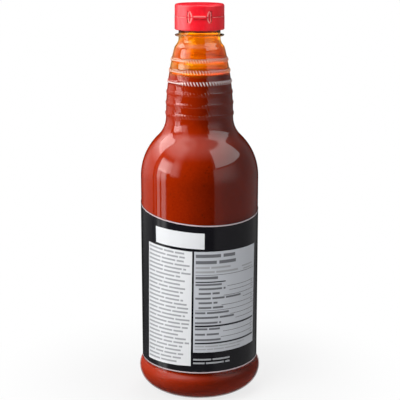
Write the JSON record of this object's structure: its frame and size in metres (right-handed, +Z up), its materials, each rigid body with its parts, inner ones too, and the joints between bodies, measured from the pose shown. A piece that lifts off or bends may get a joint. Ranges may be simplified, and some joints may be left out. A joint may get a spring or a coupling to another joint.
{
  "type": "barbecue sauce bottle",
  "caption": "Clear filled bottle with a bulged foot, plain wrap label, long neck with roped rings and a red closure whose lid flips open on a butterfly hinge.",
  "frame": {"origin": "middle of the standing ring, on the surface that the bottle stands on", "axes": "+Z up along the bottle's axis, -Y towards the lid's hinge, +X to the right seen from the hinge side"},
  "size_m": [0.076, 0.076, 0.24],
  "materials": {
    "clear_plastic": "clear glossy blown plastic",
    "sauce": "thick glossy red-brown sauce",
    "label_film": "printed film, satin gloss",
    "red_plastic": "moulded gloss"
  },
  "bodies": {
    "bottle": {"bottle": "clear_plastic", "sauce": "sauce", "label": "label_film", "cap_base": "red_plastic"},
    "lid": {"cap_lid": "red_plastic"}
  },
  "joints": [
    {"name": "lid_hinge", "type": "hinge", "parent": "bottle", "child": "lid", "pos_m": [0, -0.01557, 0.23241], "axis": [1, 0, 0], "range_deg": [0, 150]}
  ]
}
